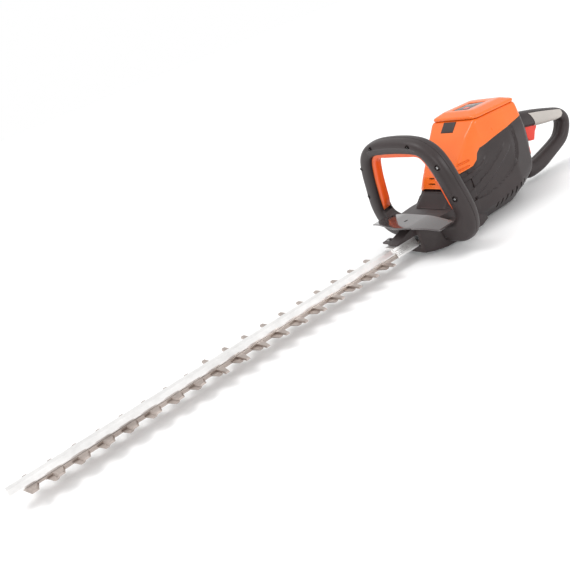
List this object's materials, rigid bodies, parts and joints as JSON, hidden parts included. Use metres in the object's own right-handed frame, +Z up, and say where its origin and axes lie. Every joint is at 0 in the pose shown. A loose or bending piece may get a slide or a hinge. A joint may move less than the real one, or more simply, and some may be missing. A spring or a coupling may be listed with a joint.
{
  "type": "hedge trimmer",
  "caption": "Cordless hedge trimmer with a long double-edged toothed blade on a bar, a flat guard, a wrap-round front loop handle, a top-loading battery and a swivelling rear handle.",
  "frame": {"origin": "the middle of the flat foot under the body, level with the ground the tool rests on", "axes": "+X runs along the blade to its tip, +Y to the user's left, +Z up"},
  "size_m": [1.078, 0.22, 0.1892],
  "materials": {
    "dark_plastic": "fine satin grain",
    "orange_plastic": "satin",
    "orange_switch": "satin",
    "dark_grip": "soft matt",
    "grey_grip": "soft matt",
    "red_plastic": "satin",
    "guard_plastic": "polished",
    "blade_steel": "ground",
    "bar_aluminium": "fine brushed anodised",
    "gear_steel": "machined",
    "screw_steel": "bright zinc",
    "case_aluminium": "as cast",
    "bearing_brass": "turned",
    "can_steel": "satin",
    "winding_copper": "enamelled",
    "board_green": "lacquered",
    "cell_wrap": "shrink wrap",
    "panel_grey": "clear coated",
    "spring_steel": "drawn wire"
  },
  "bodies": {
    "housing": {"body_shell_left": "dark_plastic", "body_shell_right": "dark_plastic", "hood": "orange_plastic", "front_cowl": "dark_plastic", "gear_housing": "dark_plastic", "gearcase": "case_aluminium", "gearcase_cover": "case_aluminium", "cover_screws": "screw_steel", "nose_screw": "screw_steel", "crank_axle": "gear_steel", "blade_bar": "bar_aluminium", "blade_block": "bar_aluminium", "blade_bolts": "screw_steel", "blade_bushes": "bearing_brass", "loop_front": "dark_plastic", "loop_rear": "dark_plastic", "loop_screws": "screw_steel", "loop_grip_band": "dark_grip", "front_switch": "dark_plastic", "guard_plate": "guard_plastic", "motor_can": "can_steel", "motor_stator": "winding_copper", "motor_plate": "case_aluminium", "motor_bearings": "gear_steel", "controller_board": "board_green", "capacitors": "can_steel", "battery_bay": "dark_plastic", "battery_terminals": "gear_steel", "eject_spring": "spring_steel", "button_spring": "spring_steel", "swivel_flange": "dark_plastic", "swivel_retainer": "gear_steel"},
    "upper_blade": {"upper_blade": "blade_steel"},
    "lower_blade": {"lower_blade": "blade_steel"},
    "crank": {"crank_gear": "gear_steel", "crank_sleeve": "gear_steel", "eccentric_upper": "gear_steel", "eccentric_lower": "gear_steel"},
    "upper_rod": {"rod_upper": "gear_steel"},
    "lower_rod": {"rod_lower": "gear_steel"},
    "rotor": {"motor_shaft": "gear_steel", "motor_rotor": "gear_steel", "motor_pinion": "gear_steel", "cooling_fan": "dark_plastic"},
    "battery": {"battery_case": "dark_plastic", "battery_cells": "cell_wrap", "battery_lid": "orange_plastic", "battery_panel": "panel_grey"},
    "release_button": {"battery_button": "dark_plastic"},
    "rear_handle": {"handle_left": "dark_plastic", "handle_right": "dark_plastic", "handle_grips": "grey_grip", "handle_screws": "screw_steel", "trigger_pin": "gear_steel", "trigger_switch": "dark_plastic", "trigger_spring": "spring_steel", "swivel_spring": "spring_steel"},
    "trigger": {"trigger": "red_plastic"},
    "swivel_lock": {"swivel_button": "red_plastic"},
    "switch_bar": {"front_switch_bar": "orange_switch"}
  },
  "joints": [
    {"name": "crank_spin", "type": "hinge", "parent": "housing", "child": "crank", "pos_m": [0.11, 0, 0.037], "axis": [0, 0, 1], "continuous": true},
    {"name": "rotor_spin", "type": "hinge", "parent": "housing", "child": "rotor", "pos_m": [0.065, 0, 0.07], "axis": [0, 0, 1], "continuous": true},
    {"name": "rod_upper_turn", "type": "hinge", "parent": "crank", "child": "upper_rod", "pos_m": [0.1055, 0.00721, 0.0285], "axis": [0, 0, 1], "continuous": true},
    {"name": "rod_lower_turn", "type": "hinge", "parent": "crank", "child": "lower_rod", "pos_m": [0.1145, -0.00721, 0.0153], "axis": [0, 0, 1], "continuous": true},
    {"name": "upper_blade_slide", "type": "slide", "parent": "housing", "child": "upper_blade", "axis": [1, 0, 0], "range_m": [-0.004, 0.013]},
    {"name": "lower_blade_slide", "type": "slide", "parent": "housing", "child": "lower_blade", "axis": [1, 0, 0], "range_m": [-0.013, 0.004]},
    {"name": "handle_swivel", "type": "hinge", "parent": "housing", "child": "rear_handle", "pos_m": [-0.092, 0, 0.066], "axis": [1, 0, 0], "range_deg": [-90, 90]},
    {"name": "trigger_pull", "type": "hinge", "parent": "rear_handle", "child": "trigger", "pos_m": [-0.122, 0, 0.1], "axis": [0, 1, 0], "range_deg": [0, 12], "stiffness_Nm_per_rad": 0.6, "springref_deg": -11.46, "deforming": ["trigger_spring"]},
    {"name": "swivel_lock_press", "type": "slide", "parent": "rear_handle", "child": "swivel_lock", "axis": [1, 0, 0], "range_m": [0, 0.003], "stiffness_N_per_m": 900, "springref_m": -0.003, "deforming": ["swivel_spring"]},
    {"name": "battery_slide", "type": "slide", "parent": "housing", "child": "battery", "axis": [0, 0, 1], "range_m": [0, 0.075]},
    {"name": "release_press", "type": "slide", "parent": "housing", "child": "release_button", "axis": [-0.717, 0, -0.697], "range_m": [0, 0.0024], "stiffness_N_per_m": 900, "springref_m": -0.003, "deforming": ["button_spring"]},
    {"name": "switch_bar_press", "type": "slide", "parent": "housing", "child": "switch_bar", "axis": [0.1132, 0, 0.9936], "range_m": [0, 0.003], "stiffness_N_per_m": 900, "springref_m": -0.003}
  ],
  "couplings": [
    {"joint": "rotor_spin", "follows": "crank_spin", "ratio": -4},
    {"joint": "rod_upper_turn", "follows": "crank_spin", "ratio": -1},
    {"joint": "rod_lower_turn", "follows": "crank_spin", "ratio": -1},
    {"joint": "lower_blade_slide", "follows": "upper_blade_slide", "ratio": -1}
  ]
}
